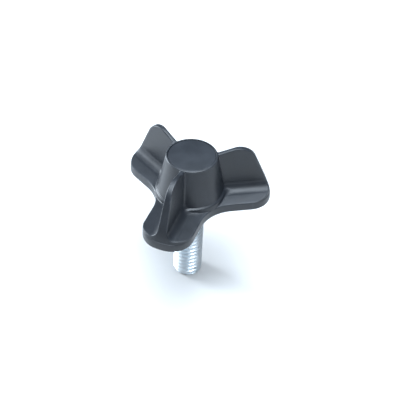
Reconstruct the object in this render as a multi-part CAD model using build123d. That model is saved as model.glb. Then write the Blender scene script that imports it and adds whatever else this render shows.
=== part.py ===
from build123d import *
import math
import os

# Three-wing clamping screw: a moulded grip with three upright wings on a steel set screw
# with a small hexagon head, closed by a round cap. Millimetres, +Z up. The origin is the
# middle of the underside that bears on the work, the screw points down, one wing is on +X.

# grip: three-lobed foot
wing_count = 3
lobe_half_width = 5.15       # half the width of one lobe
lobe_reach = 16.3            # screw axis to the outer end of a lobe
lobe_corner_radius = 4.5     # plan radius of a lobe's two outer corners
valley_radius = 7.8          # plan radius of the hollow between two lobes
flange_height = 1.95         # thickness of the foot

# grip: upright vane on each lobe
vane_foot_radius = 1.9       # hollow radius where the vane rises from the foot
vane_foot_thickness = 1.9
vane_top_thickness = 1.0
vane_peak_reach = 11.6       # screw axis to the sharp corner of the vane's outline
vane_peak_height = 13.0
vane_peak_radius = 4.0       # rounds that corner
vane_root_height = 11.0      # height where the ridge leaves the hub
end_foot_height = 1.7        # the end of a lobe is upright below this, leaning above it

# grip: hub
hub_height = 11.3
hub_ring_radius = 7.05       # low upright ring round the hub's foot
hub_ring_height = 3.0
hub_foot_radius = 6.6        # tapered from here to the top
hub_top_radius = 5.25
hub_rim_radius = 0.36        # rounded rim round the cap

# steel set screw: M6 thread below the grip, plain neck and small hexagon head in it
thread_radius = 3.0
thread_pitch = 1.0
thread_depth = 0.613
thread_crest = 0.125
thread_root = 0.25
stud_length = 20.0           # below the grip
stud_point_height = 0.6      # chamfer at the free end
top_land = 0.3               # last thread crest, against the underside of the grip
neck_radius = 2.65
head_across_flats = 8.0
head_height = 4.0
head_seat_height = 3.5       # underside of the head above the bearing face
head_chamfer_angle = 30

# round cap pressed into the top of the hub
cap_radius = 4.75
cap_edge_thickness = 0.8
cap_edge_height = 11.22      # top of the cap at its edge
cap_crown = 0.16             # rise of the middle of the cap above its edge
skirt_outer_radius = 4.4
skirt_wall = 0.7
skirt_depth = 1.5
parting_gap = 0.06           # fine gap round the cap

# clearances between the pieces
shank_clearance = 0.05
head_clearance = 0.05
skirt_clearance = 0.03


def polar(centre, radius, angle):
    turn = math.radians(angle)
    return Vector(centre[0] + radius * math.cos(turn), centre[1] + radius * math.sin(turn))


def lobed_outline(inset):
    """Plan of the foot, moved in by inset: an arc round each lobe's end, two corner arcs,
    straight sides, and one hollow arc in each valley between two lobes."""
    half_width = lobe_half_width - inset
    reach = lobe_reach - inset
    corner = lobe_corner_radius - inset
    hollow = valley_radius + inset
    lobe_angle = 360 / wing_count
    half_angle = math.radians(lobe_angle / 2)

    corner_y = half_width - corner
    corner_x = math.sqrt((reach - corner) ** 2 - corner_y ** 2)
    corner_angle = math.degrees(math.atan2(corner_y, corner_x))
    hollow_distance = (half_width + hollow) / math.sin(half_angle)
    hollow_centre = (hollow_distance * math.cos(half_angle), half_width + hollow)
    valley_middle = lobe_angle / 2 + 180
    valley_end = 2 * valley_middle - 270

    edges = []
    for index in range(wing_count):
        turn = Rot(0, 0, index * lobe_angle)
        side_low = Vector(corner_x, -half_width)
        side_high = Vector(corner_x, half_width)
        tip_low = polar((0, 0), reach, -corner_angle)
        tip_high = polar((0, 0), reach, corner_angle)
        corner_low = polar((corner_x, -corner_y), corner, -(90 + corner_angle) / 2)
        corner_high = polar((corner_x, corner_y), corner, (90 + corner_angle) / 2)
        valley_start = Vector(hollow_centre[0], half_width)
        edges.append(turn * Line(Vector(hollow_centre[0], -half_width), side_low))
        edges.append(turn * ThreePointArc(side_low, corner_low, tip_low))
        edges.append(turn * ThreePointArc(tip_low, Vector(reach, 0), tip_high))
        edges.append(turn * ThreePointArc(tip_high, corner_high, side_high))
        edges.append(turn * Line(side_high, valley_start))
        edges.append(turn * ThreePointArc(
            valley_start,
            polar(hollow_centre, hollow, valley_middle),
            polar(hollow_centre, hollow, valley_end)))
    return make_face(edges)


def wing_section():
    """Section across a lobe: an upright vane that spreads into the foot in hollow arcs."""
    foot = vane_foot_thickness / 2
    top = vane_top_thickness / 2
    spread = foot + vane_foot_radius
    low = flange_height - 0.5
    rise = flange_height + vane_foot_radius
    middle = vane_foot_radius * math.sqrt(0.5)
    right = ThreePointArc(
        (spread, flange_height),
        (spread - middle, rise - middle),
        (foot, rise))
    left = ThreePointArc(
        (-foot, rise),
        (-spread + middle, rise - middle),
        (-spread, flange_height))
    upper = Polyline(
        (foot, rise),
        (top, vane_peak_height),
        (-top, vane_peak_height),
        (-foot, rise))
    lower = Polyline(
        (-spread, flange_height),
        (-spread, low),
        (spread, low),
        (spread, flange_height))
    return make_face([right, upper, left, lower])


def wing_side():
    """Side view of a wing: level root, rising ridge, rounded peak, leaning outer end."""
    root = (hub_top_radius - 1, vane_root_height)
    start = (hub_top_radius, vane_root_height)
    peak = (vane_peak_reach, vane_peak_height)
    outline = Polyline(
        (0, 0),
        (lobe_reach, 0),
        (lobe_reach, end_foot_height),
        peak,
        start,
        root,
        (0, vane_root_height),
        close=True)
    face = make_face(outline)
    corner = face.vertices().sort_by_distance((peak[0], peak[1], 0))[0]
    return fillet(corner, vane_peak_radius)


def make_wing():
    section = Plane.YZ * wing_section()
    side = Plane.XZ * wing_side()
    across = extrude(section, lobe_reach)
    along = extrude(side, lobe_half_width, both=True)
    plan = extrude(lobed_outline(0), vane_peak_height)
    return across & along & plan


def make_hub():
    profile = Polyline(
        (0, 0),
        (hub_ring_radius, 0),
        (hub_ring_radius, hub_ring_height),
        (hub_foot_radius, hub_ring_height),
        (hub_top_radius, hub_height),
        (0, hub_height),
        close=True)
    face = make_face(profile)
    rim = face.vertices().sort_by_distance((hub_top_radius, hub_height, 0))[0]
    face = fillet(rim, hub_rim_radius)
    return revolve(Plane.XZ * face, Axis.Z)


def hexagon(across_flats, height):
    return extrude(RegularPolygon(across_flats / 2, 6, major_radius=False), height)


def make_grip():
    body = extrude(lobed_outline(0), flange_height) + make_hub()
    wing = make_wing()
    for index in range(wing_count):
        body += Rot(0, 0, index * 360 / wing_count) * wing
    seat = cap_edge_height - cap_edge_thickness
    shank_hole = Cylinder(
        thread_radius + shank_clearance, head_seat_height,
        align=(Align.CENTER, Align.CENTER, Align.MIN))
    pocket = Pos(0, 0, head_seat_height) * hexagon(
        head_across_flats + 2 * head_clearance, seat - head_seat_height)
    skirt_socket = Pos(0, 0, seat - skirt_depth) * Cylinder(
        skirt_outer_radius + skirt_clearance, skirt_depth,
        align=(Align.CENTER, Align.CENTER, Align.MIN))
    cap_recess = Pos(0, 0, seat) * Cylinder(
        cap_radius + parting_gap, hub_height,
        align=(Align.CENTER, Align.CENTER, Align.MIN))
    return body - shank_hole - pocket - skirt_socket - cap_recess


def make_cap():
    seat = cap_edge_height - cap_edge_thickness
    inner = skirt_outer_radius - skirt_wall
    edge = Polyline(
        (0, seat),
        (inner, seat),
        (inner, seat - skirt_depth),
        (skirt_outer_radius, seat - skirt_depth),
        (skirt_outer_radius, seat),
        (cap_radius, seat),
        (cap_radius, cap_edge_height))
    crown_radius = (cap_radius ** 2 + cap_crown ** 2) / (2 * cap_crown)
    half_reach = cap_radius / 2
    half_rise = cap_crown - crown_radius + math.sqrt(crown_radius ** 2 - half_reach ** 2)
    crown = ThreePointArc(
        (cap_radius, cap_edge_height),
        (half_reach, cap_edge_height + half_rise),
        (0, cap_edge_height + cap_crown))
    axis_line = Line((0, cap_edge_height + cap_crown), (0, seat))
    return revolve(Plane.XZ * make_face([edge, crown, axis_line]), Axis.Z)


def make_screw():
    """Ridges at the thread's pitch below the grip, a plain neck and a chamfered head in it."""
    root = thread_radius - thread_depth
    tip_radius = thread_radius - stud_point_height
    flank = (thread_pitch - thread_crest - thread_root) / 2
    level = -stud_length + stud_point_height
    points = [(0, -stud_length), (tip_radius, -stud_length), (thread_radius, level)]
    while level + thread_pitch < -top_land:
        points.append((thread_radius, level + thread_crest))
        points.append((root, level + thread_crest + flank))
        points.append((root, level + thread_crest + flank + thread_root))
        level += thread_pitch
        points.append((thread_radius, level))
    points.append((thread_radius, 0))
    points.append((neck_radius, 0))
    points.append((neck_radius, head_seat_height))
    points.append((0, head_seat_height))
    shank = revolve(Plane.XZ * make_face(Polyline(*points, close=True)), Axis.Z)

    corner_radius = head_across_flats / 2 / math.cos(math.radians(30))
    drop = (corner_radius - head_across_flats / 2) * math.tan(math.radians(head_chamfer_angle))
    cone = Polyline(
        (0, 0),
        (corner_radius, 0),
        (corner_radius, head_height - drop),
        (head_across_flats / 2, head_height),
        (0, head_height),
        close=True)
    envelope = revolve(Plane.XZ * make_face(cone), Axis.Z)
    head = hexagon(head_across_flats, head_height) & envelope
    return shank + Pos(0, 0, head_seat_height) * head


os.makedirs("parts", exist_ok=True)
export_step(make_grip(), "parts/wing_grip.step")
export_step(make_cap(), "parts/hub_cap.step")
export_step(make_screw(), "parts/set_screw.step")
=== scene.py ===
import math
import bmesh
import bpy
import numpy as np
from mathutils import Matrix, Vector


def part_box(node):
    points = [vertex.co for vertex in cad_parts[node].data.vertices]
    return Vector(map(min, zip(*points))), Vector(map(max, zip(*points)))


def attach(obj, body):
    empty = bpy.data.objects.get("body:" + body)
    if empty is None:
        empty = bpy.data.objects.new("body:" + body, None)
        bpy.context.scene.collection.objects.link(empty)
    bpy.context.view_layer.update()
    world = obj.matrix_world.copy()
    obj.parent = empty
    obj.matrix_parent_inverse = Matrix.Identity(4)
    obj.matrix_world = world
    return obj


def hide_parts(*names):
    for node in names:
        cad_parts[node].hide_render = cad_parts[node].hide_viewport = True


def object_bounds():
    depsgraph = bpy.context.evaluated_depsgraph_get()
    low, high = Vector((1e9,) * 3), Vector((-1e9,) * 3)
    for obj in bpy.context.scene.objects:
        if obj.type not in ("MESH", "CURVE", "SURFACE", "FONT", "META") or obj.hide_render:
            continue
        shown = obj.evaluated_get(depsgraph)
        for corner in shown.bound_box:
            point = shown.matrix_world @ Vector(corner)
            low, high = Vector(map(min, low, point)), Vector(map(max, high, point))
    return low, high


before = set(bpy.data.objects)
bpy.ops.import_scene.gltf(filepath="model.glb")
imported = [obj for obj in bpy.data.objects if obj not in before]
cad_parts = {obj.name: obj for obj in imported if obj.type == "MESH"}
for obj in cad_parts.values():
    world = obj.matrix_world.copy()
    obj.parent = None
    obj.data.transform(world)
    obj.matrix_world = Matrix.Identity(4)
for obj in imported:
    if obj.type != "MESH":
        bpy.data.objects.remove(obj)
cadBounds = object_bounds()
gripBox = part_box("wing_grip")
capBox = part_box("hub_cap")
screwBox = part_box("set_screw")
print("frame loaded:", sorted(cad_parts))

mm = 0.001

# three-lobed grip with upright wings: what to change to restyle it, in millimetres
gripShape = {
    "reach": gripBox[1][0] / mm,     # axis to the end of a lobe
    "halfWidth": 5.15,               # half of a lobe's width
    "cornerRadius": 4.5,             # plan radius of a lobe's outer corners
    "valleyRadius": 7.8,             # plan radius of the hollow between lobes
    "valleyFloor": 7.15,             # axis to the deepest point of that hollow
    "flangeHeight": 1.95,            # thickness of the foot
    "footRound": 0.14,               # bottom edge
    "flangeRound": 0.24,             # top edge of the foot's side
    "padRise": 0.38,                 # fall of the foot's top from the vane to its edge
    "spread": 1.9,                   # hollow radius where the vane rises from the foot
    "vaneFoot": 0.95,                # half thickness of the vane at its foot
    "vaneTop": 0.47,
    "ridgeRound": 0.26,
    "lipRound": 0.2,                 # rounded edge of the lobe's end face
    "peakReach": 11.6,               # sharp corner of the wing seen from the side
    "peakHeight": 13.0,
    "peakRound": 4.0,
    "ridgeRoot": 11.15,              # height at which the ridge leaves the hub
    "endFoot": 1.7,                  # the end of a lobe is upright below this height
    "endBend": 0.4,                  # softness of the bend there
    "ringRadius": 6.98,              # low ring round the hub's foot
    "ringHeight": 2.95,
    "hubFoot": 6.6,
    "hubNeck": 5.16,                 # hub radius at the ridge's root
    "hubTop": 11.3,
    "rimRound": 0.36,
    "valleyJoin": 2.4,               # plan radius where the hub's foot runs into a valley
    "flankJoin": 0.6,                # plan radius where the hub meets a vane's flank
    "ridgeJoin": 0.35,               # the same at the ridge
    "recessRadius": 4.81,            # recess that takes the cap
    "recessRound": 0.06,
    "recessFloor": 10.42,
    "socketRadius": 4.43,            # room for the cap's skirt
    "socketFloor": 8.92,
    "pocketFlat": 4.05,              # hexagon pocket for the screw's head, half across flats
    "pocketFloor": 3.5,
    "holeRadius": 3.05,              # hole for the screw
    "holeBreak": 0.05,
}

# how many points each part of the grip's surface gets
gripGrid = {
    "hub": 12,                       # half a lobe's outline, from the valley's middle
    "join": 8,
    "valley": 12,
    "side": 16,
    "lip": 5,
    "corner": 10,
    "end": 6,
    "edge": 6,                       # levels from the underside up
    "wall": 5,
    "pad": 8,
    "hollow": 40,
    "flank": 18,
    "peak": 16,
    "ridge": 3,
    "rim": 8,
    "recess": 3,
}

# round cap: radii and heights in millimetres
capShape = {
    "radius": capBox[1][0] / mm,
    "edgeRound": 0.1,
    "edgeHeight": 11.22,
    "crown": 0.16,
    "seat": 10.42,
    "skirtOuter": 4.4,
    "skirtInner": 3.7,
    "skirtFoot": 8.92,
    "columns": 160,
}

# steel screw: right-hand coarse thread, plain neck, small hexagon head
screwShape = {
    "radius": 3.0,
    "pitch": 1.0,
    "depth": 0.61,
    "length": -screwBox[0][2] / mm,
    "crest": 0.1,                    # shares of half a pitch: flat crest, then slanted flank
    "flank": 0.68,
    "rootRound": 0.12,
    "point": 0.62,                   # chamfer at the free end
    "neck": 2.65,
    "shoulder": 0.02,                # height of the step from thread to neck
    "seat": 3.5,
    "headTop": screwBox[1][2] / mm,
    "headFlat": 4.0,
    "headChamfer": 0.35,
    "columns": 96,
    "rowsPerTurn": 22,
}


def putMesh(name, points, faces, attribute=None):
    # one mesh from whole arrays: points in millimetres, quads as rows of four indices
    mesh = bpy.data.meshes.new(name)
    mesh.vertices.add(len(points))
    mesh.vertices.foreach_set("co", (points * mm).astype(np.float32).ravel())
    mesh.loops.add(faces.size)
    mesh.loops.foreach_set("vertex_index", faces.astype(np.int32).ravel())
    mesh.polygons.add(len(faces))
    mesh.polygons.foreach_set("loop_start", np.arange(0, faces.size, 4, dtype=np.int32))
    mesh.polygons.foreach_set("loop_total", np.full(len(faces), 4, dtype=np.int32))
    if attribute is not None:
        layer = mesh.attributes.new("edgeWear", "FLOAT", "POINT")
        layer.data.foreach_set("value", attribute.astype(np.float32).ravel())
    mesh.update(calc_edges=True)
    mesh.validate()
    piece = bpy.data.objects.new(name, mesh)
    bpy.context.scene.collection.objects.link(piece)
    return piece


def closeMesh(piece, mergeDistance):
    # merges the points that fall together at seams and poles and turns the faces outward
    work = bmesh.new()
    work.from_mesh(piece.data)
    bmesh.ops.remove_doubles(work, verts=work.verts, dist=mergeDistance)
    bmesh.ops.dissolve_degenerate(work, edges=work.edges, dist=mergeDistance * 0.5)
    loose = [v for v in work.verts if not v.link_faces]
    bmesh.ops.delete(work, geom=loose, context="VERTS")
    bmesh.ops.recalc_face_normals(work, faces=work.faces)
    openEdges = sum(1 for e in work.edges if not e.is_manifold)
    print(piece.name, "edges not shared by two faces:", openEdges)
    work.to_mesh(piece.data)
    work.free()
    return piece


def shadeSoft(piece, angle):
    # smooth shading, with edges sharper than the angle kept crisp
    mesh = piece.data
    mesh.polygons.foreach_set("use_smooth", np.ones(len(mesh.polygons), dtype=bool))
    mesh.set_sharp_from_angle(angle=math.radians(angle))


def gridFaces(rows, columns, closed):
    # quads between neighbouring rows and columns of a grid, wrapped round when closed
    row = np.arange(rows - 1)[:, None]
    column = np.arange(columns if closed else columns - 1)[None, :]
    following = (column + 1) % columns
    a = row * columns + column
    b = row * columns + following
    c = (row + 1) * columns + following
    d = (row + 1) * columns + column
    return np.stack([a, b, c, d], axis=-1)


def between(start, end, count, first=False):
    # evenly spaced values from start to end, leaving out the first unless it is wanted
    values = np.linspace(start, end, count + 1)
    return values if first else values[1:]


def endSlope():
    # outward run of the end face for each unit of drop, from the peak to the end's foot
    g = gripShape
    return (g["reach"] - g["peakReach"]) / (g["peakHeight"] - g["endFoot"])


def endShift(height):
    # inward lean of the end face: zero low down, straight slope above, a soft bend between
    g = gripShape
    over = (height - g["endFoot"]) / g["endBend"]
    soft = np.where(over > 20, over, np.log1p(np.exp(np.minimum(over, 20))))
    return endSlope() * g["endBend"] * soft


def hubRadius(height):
    # hub's outline: the upright foot ring, its rounded top, then a straight taper
    g = gripShape
    top = g["ringHeight"]
    heights = [0, g["endFoot"], top - 0.2, top - 0.08, top, top + 0.08, top + 0.16, g["ridgeRoot"]]
    ring, foot = g["ringRadius"], g["hubFoot"]
    radii = [g["valleyFloor"], g["valleyFloor"], ring + 0.02, ring - 0.03, ring - 0.14,
             foot + 0.12, foot, g["hubNeck"]]
    return float(np.interp(height, heights, radii))


def wingContour():
    # side view of the outer end: the slanted line, then the arc that rounds the peak
    g = gripShape
    ridgeSlope = (g["peakHeight"] - g["ridgeRoot"]) / (g["peakReach"] - g["hubNeck"])
    ridge = np.array([-1.0, -ridgeSlope]) / math.hypot(1.0, ridgeSlope)
    slope = endSlope()
    fall = np.array([slope, -1.0]) / math.hypot(slope, 1.0)
    peak = np.array([g["peakReach"], g["peakHeight"]])
    halfAngle = math.acos(float(ridge @ fall)) / 2
    reach = g["peakRound"] / math.tan(halfAngle)
    middle = (ridge + fall) / np.linalg.norm(ridge + fall)
    centre = peak + middle * g["peakRound"] / math.sin(halfAngle)
    low = peak + fall * reach
    high = peak + ridge * reach
    a = math.atan2(*(low - centre)[::-1])
    b = math.atan2(*(high - centre)[::-1])
    turn = between(a, b, gripGrid["peak"])
    arc = centre + g["peakRound"] * np.stack([np.cos(turn), np.sin(turn)], axis=-1)
    base = flankFoot()
    heights = between(base, low[1], gripGrid["flank"])
    line = np.stack([low[0] + (low[1] - heights) * slope, heights], axis=-1)
    contour = np.concatenate([line, arc])
    ridgeHeight = g["ridgeRoot"] + ridgeSlope * (contour[:, 0] - g["hubNeck"])
    level = (contour[:, 1] - base) / (ridgeHeight - base)
    level[-1] = 1.0
    return contour, level, ridgeSlope


def flankFoot():
    # height at which the hollow foot of the vane ends and its flank begins
    return gripShape["flangeHeight"] + gripShape["padRise"] + gripShape["spread"]


def valleyStart():
    # where the straight side ends and the valley's arc begins, measured along the lobe
    return (gripShape["halfWidth"] + gripShape["valleyRadius"]) / math.tan(math.pi / 3)


def gripLevels():
    # every level of the grip from the bottom edge up to the ridge, one row each:
    # side half width, inset of the end face, height, lean of the end, hub radius,
    # junction radius, lip radius, wear, start of the valley arc, rise of the vane,
    # share of the end's rounding that is done by falling instead of moving inward
    g = gripShape
    rows = []
    full = g["halfWidth"]
    lip = g["lipRound"]
    join = g["valleyJoin"]
    valley = valleyStart()
    quarter = between(0, math.pi / 2, gripGrid["edge"], first=True)
    flangeStart = g["flangeHeight"] - g["flangeRound"]
    for a in quarter:
        inset = g["footRound"] * (1 - math.sin(a))
        z = g["footRound"] * (1 - math.cos(a))
        rows.append([full - inset, inset, z, 0, g["valleyFloor"] - inset, join, lip, 1, valley, 0, 0])
    for z in between(g["footRound"], flangeStart, gripGrid["wall"]):
        rows.append([full, 0, z, endShift(z), hubRadius(z), join, lip, 0, valley, 0, 0])
    for a in quarter[1:]:
        inset = g["flangeRound"] * (1 - math.cos(a))
        z = flangeStart + g["flangeRound"] * math.sin(a)
        fall = (z - flangeStart) / g["flangeRound"]
        rows.append([full - inset, 0, z, endShift(z), hubRadius(z), join, lip, 1, valley, 0, fall])
    edge = full - g["flangeRound"]
    spreadEnd = g["vaneFoot"] + g["spread"]
    for k in between(0, 1, gripGrid["pad"]):
        w = edge + (spreadEnd - edge) * k
        z = g["flangeHeight"] + g["padRise"] * k
        rows.append([w, 0, z, endShift(z), hubRadius(z), join, lip, 0, valley, 0, 1])
    base = g["flangeHeight"] + g["padRise"]
    for a in between(0, math.pi / 2, gripGrid["hollow"]):
        w = spreadEnd - g["spread"] * math.sin(a)
        z = base + g["spread"] * (1 - math.cos(a))
        junction = join + (g["flankJoin"] - join) * math.sin(a) ** 2
        fall = math.cos(a) ** 2
        rows.append([w, 0, z, endShift(z), hubRadius(z), junction, lip, 0, valley, 0, fall])
    contour, level, ridgeSlope = wingContour()
    foot = flankFoot()
    for (reach, _), t in zip(contour, level):
        drop = (1 - t) * (g["ridgeRoot"] - foot)
        w = g["vaneFoot"] + (g["vaneTop"] - g["vaneFoot"]) * t
        cut = max(g["ridgeRound"] - drop, 0)
        w -= g["ridgeRound"] - math.sqrt(g["ridgeRound"] ** 2 - cut ** 2)
        hub = hubRadius(foot + (g["ridgeRoot"] - foot) * t)
        junction = g["flankJoin"] + (g["ridgeJoin"] - g["flankJoin"]) * t
        start = valley + (hub + g["flankJoin"] - valley) * t
        narrow = min(lip, w * 0.9)
        wear = 1.0 if cut > 0 else 0.0
        rows.append([w, 0, foot, g["reach"] - reach, hub, junction, narrow, wear, start, t, 0])
    last = list(rows[-1])
    # the last rows close the ridge down to its middle line
    for k in between(0, 1, gripGrid["ridge"]):
        row = list(last)
        row[0] = last[0] * (1 - k)
        row[5] = last[5] * (1 - k)
        row[6] = last[6] * (1 - k)
        row[8] = last[8] + (g["hubNeck"] - last[8]) * k
        rows.append(row)
    return np.array(rows), ridgeSlope


def lobeOutline(levels, ridgeSlope):
    # half a lobe's outline at every level, as arrays of levels by points: the hub's arc from
    # the middle of the valley, a small hollow where it meets the lobe, the valley's arc,
    # the straight side, the rounded lip, the corner's arc and the end's arc
    g = gripShape
    columns = [c[:, None] for c in levels.T]
    w, inset, z, shift, hub, junction, lip, wear, start, rise, fall = columns
    r = g["valleyRadius"] + (g["halfWidth"] - w)
    cx, cy = start, w + r
    span = np.hypot(cx, cy)
    turn = np.arctan2(cy, cx)
    cosine = (span ** 2 + (hub + junction) ** 2 - (r - junction) ** 2) / (2 * span * (hub + junction))
    foot = turn - np.arccos(np.clip(cosine, -1, 1))
    fx, fy = (hub + junction) * np.cos(foot), (hub + junction) * np.sin(foot)

    angle = np.pi / 3 + (foot - np.pi / 3) * np.linspace(0, 1, gripGrid["hub"])[None, :]
    parts = [(hub * np.cos(angle), hub * np.sin(angle))]
    away = np.arctan2(fy - cy, fx - cx)
    a0 = foot + np.pi
    a1 = a0 + (away - a0 + np.pi) % (2 * np.pi) - np.pi
    angle = a0 + (a1 - a0) * between(0, 1, gripGrid["join"])[None, :]
    parts.append((fx + junction * np.cos(angle), fy + junction * np.sin(angle)))
    b1 = np.full_like(away, -np.pi / 2)
    b0 = b1 + (away - b1 + np.pi) % (2 * np.pi) - np.pi
    angle = b0 + (b1 - b0) * between(0, 1, gripGrid["valley"])[None, :]
    parts.append((cx + r * np.cos(angle), cy + r * np.sin(angle)))

    tipY = g["halfWidth"] - g["cornerRadius"]
    tipX = math.sqrt((g["reach"] - g["cornerRadius"]) ** 2 - tipY ** 2)
    tipAngle = math.atan2(tipY, tipX)
    end = g["reach"] - inset
    corner = g["cornerRadius"] - inset
    onCorner = (w - lip) > (end - lip) * math.sin(tipAngle)
    reachA = np.sqrt(np.maximum((corner - lip) ** 2 - (w - lip - tipY) ** 2, 0))
    reachB = np.sqrt(np.maximum((end - lip) ** 2 - (w - lip) ** 2, 0))
    lx = np.where(onCorner, tipX + reachA, reachB)
    ly = w - lip
    lean = np.where(onCorner, np.arctan2(ly - tipY, lx - tipX), np.arctan2(ly, lx))
    sx = cx + (lx - shift - cx) * between(0, 1, gripGrid["side"])[None, :]
    parts.append((sx, np.broadcast_to(w, sx.shape)))
    angle = np.pi / 2 + (lean - np.pi / 2) * between(0, 1, gripGrid["lip"])[None, :]
    parts.append((lx - shift + lip * np.cos(angle), ly + lip * np.sin(angle)))
    cornerStart = np.where(onCorner, lean, tipAngle)
    angle = cornerStart + (tipAngle - cornerStart) * between(0, 1, gripGrid["corner"])[None, :]
    onArcX = tipX + corner * np.cos(angle)
    onArcY = tipY + corner * np.sin(angle)
    heldX = end * np.cos(lean) + 0 * angle
    heldY = end * np.sin(lean) + 0 * angle
    ax = np.where(onCorner, onArcX, heldX) - shift
    ay = np.where(onCorner, onArcY, heldY)
    parts.append((ax, ay))
    endStart = np.where(onCorner, tipAngle, lean)
    angle = endStart * (1 - between(0, 1, gripGrid["end"])[None, :])
    parts.append((end * np.cos(angle) - shift, end * np.sin(angle)))

    x = np.concatenate([p[0] for p in parts], axis=1)
    y = np.concatenate([p[1] for p in parts], axis=1)
    ridge = g["ridgeRoot"] + ridgeSlope * np.maximum(x - g["hubNeck"], 0)
    lipFirst = sum(gripGrid[part] for part in ("hub", "join", "valley", "side"))
    past = np.clip((np.arange(x.shape[1]) - lipFirst + 1) / gripGrid["lip"], 0, 1)[None, :]
    height = z + rise * (ridge - z) - fall * lip * (1 - np.cos(past * np.pi / 2))
    edge = np.broadcast_to(wear, x.shape).copy()
    lipColumns = slice(lipFirst - 1, lipFirst + gripGrid["lip"])
    edge[:, lipColumns] = np.maximum(edge[:, lipColumns], 0.9)
    return x, y, height, edge


def wholeOutline(x, y, height, edge):
    # the half lobe and its mirror image, repeated three times round the axis; each half runs
    # clockwise, so the next lobe is the one a third of a turn back
    ring = []
    for index in range(3):
        turn = -index * 2 * math.pi / 3
        for side in (1, -1):
            order = slice(None) if side == 1 else slice(None, None, -1)
            px = x[:, order]
            py = y[:, order] * side
            qx = px * math.cos(turn) - py * math.sin(turn)
            qy = px * math.sin(turn) + py * math.cos(turn)
            ring.append(np.stack([qx, qy, height[:, order], edge[:, order]], axis=-1))
    return np.concatenate(ring, axis=1)


def hexagonRadius(flat, angle):
    # distance to a hexagon's side: its half width over the cosine of the angle off that side
    off = (angle + np.pi / 6) % (np.pi / 3) - np.pi / 6
    return flat / np.cos(off)


def makeGrip():
    # one closed grid: lobed levels up to the ridge, rings over the hub's rim, then down
    # through the recess, socket, pocket and hole and back along the underside
    g = gripShape
    levels, ridgeSlope = gripLevels()
    x, y, height, edge = lobeOutline(levels, ridgeSlope)
    outer = wholeOutline(x, y, height, edge)
    columns = outer.shape[1]
    half = x.shape[1]
    # rings of the hub alone, from the ridge's root over the rim and down into the recess
    top = outer[-1]
    angle = np.arctan2(top[:, 1], top[:, 0])
    hubColumn = np.zeros(half, dtype=bool)
    hubColumn[:gripGrid["hub"]] = True
    mask = np.tile(np.concatenate([hubColumn, hubColumn[::-1]]), 3)
    spoke = np.round(angle / (2 * np.pi / 3)) * (2 * np.pi / 3)
    angle = np.where(mask, angle, spoke)
    rimBase = g["hubTop"] - g["rimRound"]
    rimRadius = g["recessRadius"] + g["recessRound"] + g["rimRound"]
    profile = [(g["hubNeck"], g["ridgeRoot"], 0.2)]
    firstTurn = math.asin((g["ridgeRoot"] - rimBase) / g["rimRound"])
    for a in between(firstTurn, math.pi / 2, gripGrid["rim"]):
        r = rimRadius - g["rimRound"] * (1 - math.cos(a))
        profile.append((r, rimBase + g["rimRound"] * math.sin(a), 0.9))
    for a in between(0, math.pi / 2, gripGrid["recess"]):
        r = g["recessRadius"] + g["recessRound"] * (1 - math.sin(a))
        profile.append((r, g["hubTop"] - g["recessRound"] * (1 - math.cos(a)), 0.5))
    profile.append((g["recessRadius"], g["recessFloor"], 0.0))
    profile.append((g["socketRadius"], g["recessFloor"], 0.0))
    hubRings = np.array(profile)
    ringX = hubRings[:, :1] * np.cos(angle)[None, :]
    ringY = hubRings[:, :1] * np.sin(angle)[None, :]
    ringZ = np.broadcast_to(hubRings[:, 1:2], ringX.shape)
    ringE = np.broadcast_to(hubRings[:, 2:3], ringX.shape)
    upper = np.stack([ringX, ringY, ringZ, ringE], axis=-1)
    # socket, hexagon pocket, seat and hole, down to the underside
    hexR = hexagonRadius(g["pocketFlat"], angle)
    socket = np.maximum(hexR, g["socketRadius"])
    hole = np.full(columns, g["holeRadius"])
    inner = [
        (socket, g["recessFloor"]),
        (socket, g["socketFloor"]),
        (hexR, g["socketFloor"]),
        (hexR, g["pocketFloor"]),
        (hole, g["pocketFloor"]),
        (hole, g["holeBreak"]),
        (hole + g["holeBreak"], 0.0)]
    radius = np.array([row[0] for row in inner])
    level = np.array([row[1] for row in inner])[:, None]
    lower = np.stack([
        radius * np.cos(angle)[None, :],
        radius * np.sin(angle)[None, :],
        np.broadcast_to(level, radius.shape),
        np.zeros_like(radius)], axis=-1)
    grid = np.concatenate([outer, upper, lower, outer[:1]])
    faces = gridFaces(len(grid), columns, closed=True)
    keep = np.ones(faces.shape[:2], dtype=bool)
    joinRow = len(outer) - 1
    keep[joinRow, ~(mask & np.roll(mask, -1))] = False
    faces = faces[keep]
    points = grid.reshape(-1, 4)
    piece = putMesh("gripBody", points[:, :3], faces, points[:, 3])
    closeMesh(piece, 0.004 * mm)
    shadeSoft(piece, 38)
    return piece


def revolve(name, profile, columns, wear=None):
    # a profile of radius and height turned round the axis
    turn = np.arange(columns) * 2 * np.pi / columns
    x = profile[:, :1] * np.cos(turn)
    y = profile[:, :1] * np.sin(turn)
    z = np.broadcast_to(profile[:, 1:2], x.shape)
    points = np.stack([x, y, z], axis=-1)
    faces = gridFaces(len(profile), columns, closed=True).reshape(-1, 4)
    edge = np.zeros(x.shape) if wear is None else np.broadcast_to(wear[:, None], x.shape)
    piece = putMesh(name, points.reshape(-1, 3), faces, edge.reshape(-1))
    closeMesh(piece, 0.002 * mm)
    shadeSoft(piece, 38)
    return piece


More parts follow.
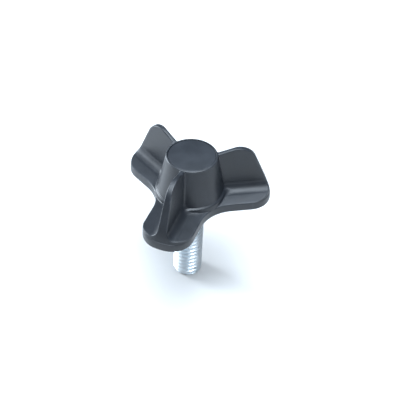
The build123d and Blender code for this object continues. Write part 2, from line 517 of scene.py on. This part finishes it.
def makeCap():
    # domed disc: height falls with the square of the radius, then a rounded edge and a skirt
    c = capShape
    flat = c["radius"] - c["edgeRound"]
    rings = between(0, flat, 24, first=True)
    dome = c["edgeHeight"] + c["crown"] * (1 - (rings / c["radius"]) ** 2)
    profile = list(zip(rings, dome))
    wear = [0.0] * len(profile)
    for a in between(0, math.pi / 2, 5):
        r = flat + c["edgeRound"] * math.sin(a)
        profile.append((r, dome[-1] - c["edgeRound"] * (1 - math.cos(a))))
        wear.append(0.8)
    for r, z in (
            (c["radius"], c["seat"]),
            (c["skirtOuter"], c["seat"]),
            (c["skirtOuter"], c["skirtFoot"]),
            (c["skirtInner"], c["skirtFoot"]),
            (c["skirtInner"], c["seat"]),
            (0, c["seat"])):
        profile.append((r, z))
        wear.append(0.0)
    return revolve("hubCap", np.array(profile), c["columns"], np.array(wear))


def makeScrew():
    # thread: the radius is a wave of the height less the turn's share of the pitch, with a
    # narrow flat crest and a rounded root, cut off by the chamfer at the free end
    s = screwShape
    rows = int(s["length"] / s["pitch"] * s["rowsPerTurn"])
    z = np.linspace(-s["length"], 0, rows + 1)[:, None]
    turn = (np.arange(s["columns"]) * 2 * np.pi / s["columns"])[None, :]
    phase = ((z / s["pitch"] - turn / (2 * np.pi)) % 1.0) * 2 - 1
    away = np.abs(phase)
    flank = np.clip((away - s["crest"]) / s["flank"], 0, 1)
    wave = flank - s["rootRound"] * np.sin(np.pi * flank) * flank
    body = s["radius"] - s["depth"] * wave
    cone = s["radius"] - s["point"] + (z + s["length"])
    body = np.minimum(body, cone)
    body = np.where(z > -s["shoulder"], s["neck"] - 0.1, body)
    x, y = body * np.cos(turn), body * np.sin(turn)
    shank = np.stack([x, y, np.broadcast_to(z, x.shape)], axis=-1)
    crest = np.where(away < 0.16, 1.0, 0.0)
    tip = s["radius"] - s["point"]
    first = turn[0]
    rounds = [(0.0, -s["length"]), (tip * 0.5, -s["length"]), (tip - 0.12, -s["length"])]
    flats = hexagonRadius(s["headFlat"], first)
    chamfer = np.minimum(flats, s["headFlat"] + 0.02)
    upper = [
        (np.full_like(first, s["neck"]), s["shoulder"]),
        (np.full_like(first, s["neck"]), s["seat"]),
        (flats, s["seat"]),
        (flats, s["headTop"] - s["headChamfer"]),
        (chamfer, s["headTop"]),
        (np.zeros_like(first), s["headTop"])]
    low = np.array([[r * np.cos(first), r * np.sin(first), np.full_like(first, h)]
                    for r, h in rounds]).transpose(0, 2, 1)
    high = np.array([[r * np.cos(first), r * np.sin(first), np.full_like(first, h)]
                     for r, h in upper]).transpose(0, 2, 1)
    grid = np.concatenate([low, shank, high])
    edge = np.concatenate([
        np.zeros((len(low), s["columns"])),
        np.broadcast_to(crest, x.shape),
        np.zeros((len(high), s["columns"]))])
    faces = gridFaces(len(grid), s["columns"], closed=True).reshape(-1, 4)
    piece = putMesh("threadedStud", grid.reshape(-1, 3), faces, edge.reshape(-1))
    closeMesh(piece, 0.002 * mm)
    shadeSoft(piece, 50)
    return piece


grip = makeGrip()
print("grip:", len(grip.data.polygons), "faces")
cap = makeCap()
print("cap:", len(cap.data.polygons), "faces")
screw = makeScrew()
print("screw:", len(screw.data.polygons), "faces")

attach(grip, "root")
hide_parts("wing_grip")
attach(cap, "root")
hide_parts("hub_cap")
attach(screw, "root")
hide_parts("set_screw")


def addSocket(group, name, direction, kind, value=None):
    socket = group.interface.new_socket(name=name, in_out=direction, socket_type=kind)
    if value is not None:
        socket.default_value = value


def buildMouldGrain():
    # moulded skin: fine noise for the texture, broad noise for uneven gloss, a few hairlines
    group = bpy.data.node_groups.new("mouldGrain", "ShaderNodeTree")
    addSocket(group, "Vector", "INPUT", "NodeSocketVector")
    addSocket(group, "Grain Size", "INPUT", "NodeSocketFloat", 2600.0)
    addSocket(group, "Cloud Size", "INPUT", "NodeSocketFloat", 160.0)
    addSocket(group, "Grain", "OUTPUT", "NodeSocketFloat")
    addSocket(group, "Cloud", "OUTPUT", "NodeSocketFloat")
    addSocket(group, "Scratches", "OUTPUT", "NodeSocketFloat")
    nodes, links = group.nodes, group.links
    into = nodes.new("NodeGroupInput")
    out = nodes.new("NodeGroupOutput")
    grain = nodes.new("ShaderNodeTexNoise")
    grain.inputs["Detail"].default_value = 3
    grain.inputs["Roughness"].default_value = 0.6
    cloud = nodes.new("ShaderNodeTexNoise")
    cloud.inputs["Detail"].default_value = 4
    warp = nodes.new("ShaderNodeMapping")
    warp.inputs["Scale"].default_value = (900, 160, 420)
    warp.inputs["Rotation"].default_value = (0.5, 0.3, 0.7)
    lines = nodes.new("ShaderNodeTexNoise")
    lines.inputs["Scale"].default_value = 1.0
    lines.inputs["Detail"].default_value = 2
    pick = nodes.new("ShaderNodeMapRange")
    pick.inputs["From Min"].default_value = 0.66
    pick.inputs["From Max"].default_value = 0.74
    links.new(into.outputs["Vector"], grain.inputs["Vector"])
    links.new(into.outputs["Grain Size"], grain.inputs["Scale"])
    links.new(into.outputs["Vector"], cloud.inputs["Vector"])
    links.new(into.outputs["Cloud Size"], cloud.inputs["Scale"])
    links.new(into.outputs["Vector"], warp.inputs["Vector"])
    links.new(warp.outputs["Vector"], lines.inputs["Vector"])
    links.new(lines.outputs["Fac"], pick.inputs["Value"])
    links.new(grain.outputs["Fac"], out.inputs["Grain"])
    links.new(cloud.outputs["Fac"], out.inputs["Cloud"])
    links.new(pick.outputs["Result"], out.inputs["Scratches"])
    return group


def buildRubbedEdge():
    # rubbed edges: the mesh's own edge mask, broken up by noise so that the wear is patchy
    group = bpy.data.node_groups.new("rubbedEdge", "ShaderNodeTree")
    addSocket(group, "Vector", "INPUT", "NodeSocketVector")
    addSocket(group, "Edge", "INPUT", "NodeSocketFloat", 0.0)
    addSocket(group, "Patch Size", "INPUT", "NodeSocketFloat", 500.0)
    addSocket(group, "Amount", "INPUT", "NodeSocketFloat", 0.5)
    addSocket(group, "Mask", "OUTPUT", "NodeSocketFloat")
    nodes, links = group.nodes, group.links
    into = nodes.new("NodeGroupInput")
    out = nodes.new("NodeGroupOutput")
    patch = nodes.new("ShaderNodeTexNoise")
    patch.inputs["Detail"].default_value = 5
    spread = nodes.new("ShaderNodeMapRange")
    spread.inputs["From Min"].default_value = 0.35
    spread.inputs["From Max"].default_value = 0.7
    join = nodes.new("ShaderNodeMath")
    join.operation = "MULTIPLY"
    scale = nodes.new("ShaderNodeMath")
    scale.operation = "MULTIPLY"
    links.new(into.outputs["Vector"], patch.inputs["Vector"])
    links.new(into.outputs["Patch Size"], patch.inputs["Scale"])
    links.new(patch.outputs["Fac"], spread.inputs["Value"])
    links.new(spread.outputs["Result"], join.inputs[0])
    links.new(into.outputs["Edge"], join.inputs[1])
    links.new(join.outputs["Value"], scale.inputs[0])
    links.new(into.outputs["Amount"], scale.inputs[1])
    links.new(scale.outputs["Value"], out.inputs["Mask"])
    return group


mouldGrain = buildMouldGrain()
rubbedEdge = buildRubbedEdge()


def startMaterial(name):
    material = bpy.data.materials.new(name)
    material.use_nodes = True
    nodes, links = material.node_tree.nodes, material.node_tree.links
    place = nodes.new("ShaderNodeTexCoord")
    edge = nodes.new("ShaderNodeAttribute")
    edge.attribute_name = "edgeWear"
    grain = nodes.new("ShaderNodeGroup")
    grain.node_tree = mouldGrain
    rub = nodes.new("ShaderNodeGroup")
    rub.node_tree = rubbedEdge
    links.new(place.outputs["Object"], grain.inputs["Vector"])
    links.new(place.outputs["Object"], rub.inputs["Vector"])
    links.new(edge.outputs["Fac"], rub.inputs["Edge"])
    return material, nodes, links, place, grain, rub, nodes["Principled BSDF"]


def rampBetween(nodes, links, source, low, high, start, stop):
    # maps a mask from one range onto another
    step = nodes.new("ShaderNodeMapRange")
    step.inputs["From Min"].default_value = start
    step.inputs["From Max"].default_value = stop
    step.inputs["To Min"].default_value = low
    step.inputs["To Max"].default_value = high
    links.new(source, step.inputs["Value"])
    return step.outputs["Result"]


def mixColour(nodes, links, mask, first, second):
    mix = nodes.new("ShaderNodeMix")
    mix.data_type = "RGBA"
    links.new(mask, mix.inputs[0])
    for socket, value in ((mix.inputs[6], first), (mix.inputs[7], second)):
        if isinstance(value, tuple):
            socket.default_value = value
        else:
            links.new(value, socket)
    return mix.outputs[2]


# black moulding: darker and lighter tint, gloss, sizes of the patterns (larger is finer),
# share of wear, extra roughness of a hairline, and height of the skin's texture
mouldLook = {
    "gripDark": (0.009, 0.012, 0.0165, 1),
    "gripLight": (0.016, 0.02, 0.027, 1),
    "capDark": (0.01, 0.0135, 0.019, 1),
    "capLight": (0.018, 0.023, 0.031, 1),
    "worn": (0.05, 0.057, 0.068, 1),
    "gripRough": (0.34, 0.46),
    "capRough": (0.38, 0.5),
    "gripGrain": 2600.0,
    "capGrain": 3000.0,
    "cloudSize": 210.0,
    "patchSize": 420.0,
    "wear": 0.5,
    "hairline": 0.04,
    "grainHeight": 0.012,
    "specular": 0.55,
}


def mouldMaterial(name, dark, light, rough, grainSize):
    material, nodes, links, place, grain, rub, shader = startMaterial(name)
    grain.inputs["Grain Size"].default_value = grainSize
    grain.inputs["Cloud Size"].default_value = mouldLook["cloudSize"]
    rub.inputs["Patch Size"].default_value = mouldLook["patchSize"]
    rub.inputs["Amount"].default_value = mouldLook["wear"]
    cloud = rampBetween(nodes, links, grain.outputs["Cloud"], 0, 1, 0.3, 0.7)
    tint = mixColour(nodes, links, cloud, dark, light)
    worn = mixColour(nodes, links, rub.outputs["Mask"], tint, mouldLook["worn"])
    links.new(worn, shader.inputs["Base Color"])
    gloss = rampBetween(nodes, links, grain.outputs["Cloud"], rough[0], rough[1], 0.3, 0.7)
    scuff = nodes.new("ShaderNodeMath")
    scuff.operation = "MULTIPLY_ADD"
    scuff.inputs[1].default_value = mouldLook["hairline"]
    links.new(grain.outputs["Scratches"], scuff.inputs[0])
    links.new(gloss, scuff.inputs[2])
    links.new(scuff.outputs["Value"], shader.inputs["Roughness"])
    bump = nodes.new("ShaderNodeBump")
    bump.inputs["Strength"].default_value = 0.35
    bump.inputs["Distance"].default_value = mouldLook["grainHeight"] * mm
    links.new(grain.outputs["Grain"], bump.inputs["Height"])
    links.new(bump.outputs["Normal"], shader.inputs["Normal"])
    shader.inputs["Specular IOR Level"].default_value = mouldLook["specular"]
    return material


# bright zinc plating: cool silver tints, fine turning lines and a whitish haze
platingLook = {
    "cool": (0.7, 0.79, 0.86, 1),
    "warm": (0.78, 0.84, 0.88, 1),
    "rubbed": (0.86, 0.88, 0.9, 1),
    "rough": (0.34, 0.4),
    "metallic": 0.72,                # the rest is haze
    "grainSize": 3200.0,
    "cloudSize": 380.0,
    "patchSize": 700.0,
    "wear": 0.8,
    "lineScale": (300, 300, 9000),
    "lineHeight": 0.0006,
}


def platingMaterial(name):
    material, nodes, links, place, grain, rub, shader = startMaterial(name)
    grain.inputs["Grain Size"].default_value = platingLook["grainSize"]
    grain.inputs["Cloud Size"].default_value = platingLook["cloudSize"]
    rub.inputs["Patch Size"].default_value = platingLook["patchSize"]
    rub.inputs["Amount"].default_value = platingLook["wear"]
    cloud = rampBetween(nodes, links, grain.outputs["Cloud"], 0, 1, 0.3, 0.7)
    tint = mixColour(nodes, links, cloud, platingLook["cool"], platingLook["warm"])
    bright = mixColour(nodes, links, rub.outputs["Mask"], tint, platingLook["rubbed"])
    links.new(bright, shader.inputs["Base Color"])
    rough = platingLook["rough"]
    gloss = rampBetween(nodes, links, grain.outputs["Cloud"], rough[0], rough[1], 0.3, 0.7)
    links.new(gloss, shader.inputs["Roughness"])
    shader.inputs["Metallic"].default_value = platingLook["metallic"]
    turning = nodes.new("ShaderNodeMapping")
    turning.inputs["Scale"].default_value = platingLook["lineScale"]
    lines = nodes.new("ShaderNodeTexNoise")
    lines.inputs["Scale"].default_value = 1.0
    links.new(place.outputs["Object"], turning.inputs["Vector"])
    links.new(turning.outputs["Vector"], lines.inputs["Vector"])
    bump = nodes.new("ShaderNodeBump")
    bump.inputs["Strength"].default_value = 0.3
    bump.inputs["Distance"].default_value = platingLook["lineHeight"] * mm
    links.new(lines.outputs["Fac"], bump.inputs["Height"])
    links.new(bump.outputs["Normal"], shader.inputs["Normal"])
    return material


grip.data.materials.append(mouldMaterial(
    "blackGripMoulding", mouldLook["gripDark"], mouldLook["gripLight"],
    mouldLook["gripRough"], mouldLook["gripGrain"]))
cap.data.materials.append(mouldMaterial(
    "blackCapMoulding", mouldLook["capDark"], mouldLook["capLight"],
    mouldLook["capRough"], mouldLook["capGrain"]))
screw.data.materials.append(platingMaterial("brightZincPlating"))
print("materials placed")

# stage: floor, lights and world, sizes in metres
stageLook = {
    "floorSize": 6.0,
    "floorDrop": 0.00002,
    "floorTone": (0.7, 0.7, 0.7, 1),
    "worldTone": (0.94, 0.97, 1.0, 1),
    "worldStrength": 0.22,
    "softboxes": [
        # name, place, size across and along, power, tint
        ("overheadSoftbox", (0.0, -0.03, 0.3), (0.26, 0.32), 2.3, (0.8, 0.9, 1.0)),
        ("leftStripLight", (-0.16, 0.12, 0.045), (0.08, 0.12), 0.7, (0.82, 0.91, 1.0)),
        ("frontFillLight", (0.12, -0.3, 0.3), (0.3, 0.3), 0.12, (0.9, 0.95, 1.0)),
    ],
}


def makeStage():
    # a slightly uneven floor sheet: height is a low wave of both directions, far under a hair
    size = stageLook["floorSize"]
    steps = 41
    a = np.linspace(-size / 2, size / 2, steps) / mm
    x, y = np.meshgrid(a, a, indexing="ij")
    drop = (cadBounds[0][2] - stageLook["floorDrop"]) / mm
    z = drop - 0.002 * (1 - np.cos(x * 0.004) * np.cos(y * 0.004))
    points = np.stack([x, y, z], axis=-1).reshape(-1, 3)
    faces = gridFaces(steps, steps, closed=False).reshape(-1, 4)
    floor = putMesh("studioFloor", points, faces)
    material = bpy.data.materials.new("paleFloorPaper")
    material.use_nodes = True
    nodes, links = material.node_tree.nodes, material.node_tree.links
    shader = nodes["Principled BSDF"]
    place = nodes.new("ShaderNodeTexCoord")
    noise = nodes.new("ShaderNodeTexNoise")
    noise.inputs["Scale"].default_value = 40.0
    links.new(place.outputs["Object"], noise.inputs["Vector"])
    gloss = rampBetween(nodes, links, noise.outputs["Fac"], 0.85, 0.95, 0.3, 0.7)
    links.new(gloss, shader.inputs["Roughness"])
    shader.inputs["Base Color"].default_value = stageLook["floorTone"]
    shader.inputs["Specular IOR Level"].default_value = 0.1
    floor.data.materials.append(material)
    return floor


def aimAt(place, target):
    # turn that points a light's face from its place to the target
    return (Vector(target) - Vector(place)).to_track_quat("-Z", "Y").to_matrix().to_4x4()


def makeLights():
    target = (0.0, 0.0, 0.003)
    for name, place, size, power, tint in stageLook["softboxes"]:
        lamp = bpy.data.lights.new(name, "AREA")
        lamp.shape = "RECTANGLE"
        lamp.size, lamp.size_y = size
        lamp.energy = power
        lamp.color = tint
        softbox = bpy.data.objects.new(name, lamp)
        softbox.matrix_world = Matrix.Translation(place) @ aimAt(place, target)
        bpy.context.scene.collection.objects.link(softbox)
    world = bpy.data.worlds.new("studioWorld")
    world.use_nodes = True
    background = world.node_tree.nodes["Background"]
    background.inputs["Color"].default_value = stageLook["worldTone"]
    background.inputs["Strength"].default_value = stageLook["worldStrength"]
    bpy.context.scene.world = world


# camera: viewing direction in degrees, distance and sideways offsets in metres
cameraPlace = {
    "turn": 11.2,
    "elevation": 42.55,
    "roll": 2.77,
    "distance": 0.230,
    "across": 0.001985,
    "down": -0.000505,
    "lens": 102.15,
}


def makeCamera():
    c = cameraPlace
    e, p, r = (math.radians(c[k]) for k in ("elevation", "turn", "roll"))
    back = Vector((-math.cos(e) * math.sin(p), -math.cos(e) * math.cos(p), math.sin(e)))
    right = Vector((math.cos(p), -math.sin(p), 0.0))
    up = back.cross(right)
    across = right * math.cos(r) + up * math.sin(r)
    upward = up * math.cos(r) - right * math.sin(r)
    place = back * c["distance"] + across * c["across"] + upward * c["down"]
    lens = bpy.data.cameras.new("productCamera")
    lens.lens = c["lens"]
    lens.sensor_width = 36
    lens.clip_start = 0.01
    lens.clip_end = 20
    camera = bpy.data.objects.new("productCamera", lens)
    turn = Matrix((across, upward, back)).transposed().to_4x4()
    camera.matrix_world = Matrix.Translation(place) @ turn
    bpy.context.scene.collection.objects.link(camera)
    bpy.context.scene.camera = camera


makeStage()
makeLights()
makeCamera()
bpy.context.scene.view_settings.view_transform = "Standard"
print("stage, lights and camera placed")
